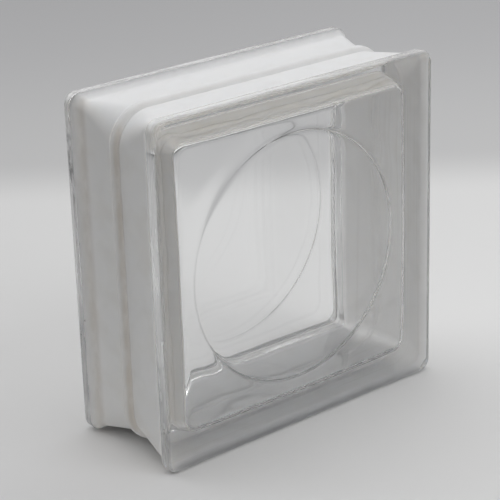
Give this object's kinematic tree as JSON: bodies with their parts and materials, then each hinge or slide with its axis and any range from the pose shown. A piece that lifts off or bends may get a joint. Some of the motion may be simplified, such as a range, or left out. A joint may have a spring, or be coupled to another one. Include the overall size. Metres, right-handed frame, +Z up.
{
  "type": "hollow glass block",
  "caption": "Square hollow glass building block with clear rims, a white-coated mortar channel with a seam bead, and a round relief in each pane.",
  "frame": {"origin": "middle of the base, where the block stands on its rims", "axes": "+X along the width, +Y from the front face through the block to the rear face, +Z up"},
  "size_m": [0.197, 0.079, 0.197],
  "materials": {
    "clear_glass": "pressed soda-lime glass, fire-polished and clear",
    "edge_coat": "white sprayed edge coat, matte"
  },
  "bodies": {
    "root": {"front_half": "clear_glass", "rear_half": "clear_glass", "edge_coating": "edge_coat"}
  },
  "joints": []
}
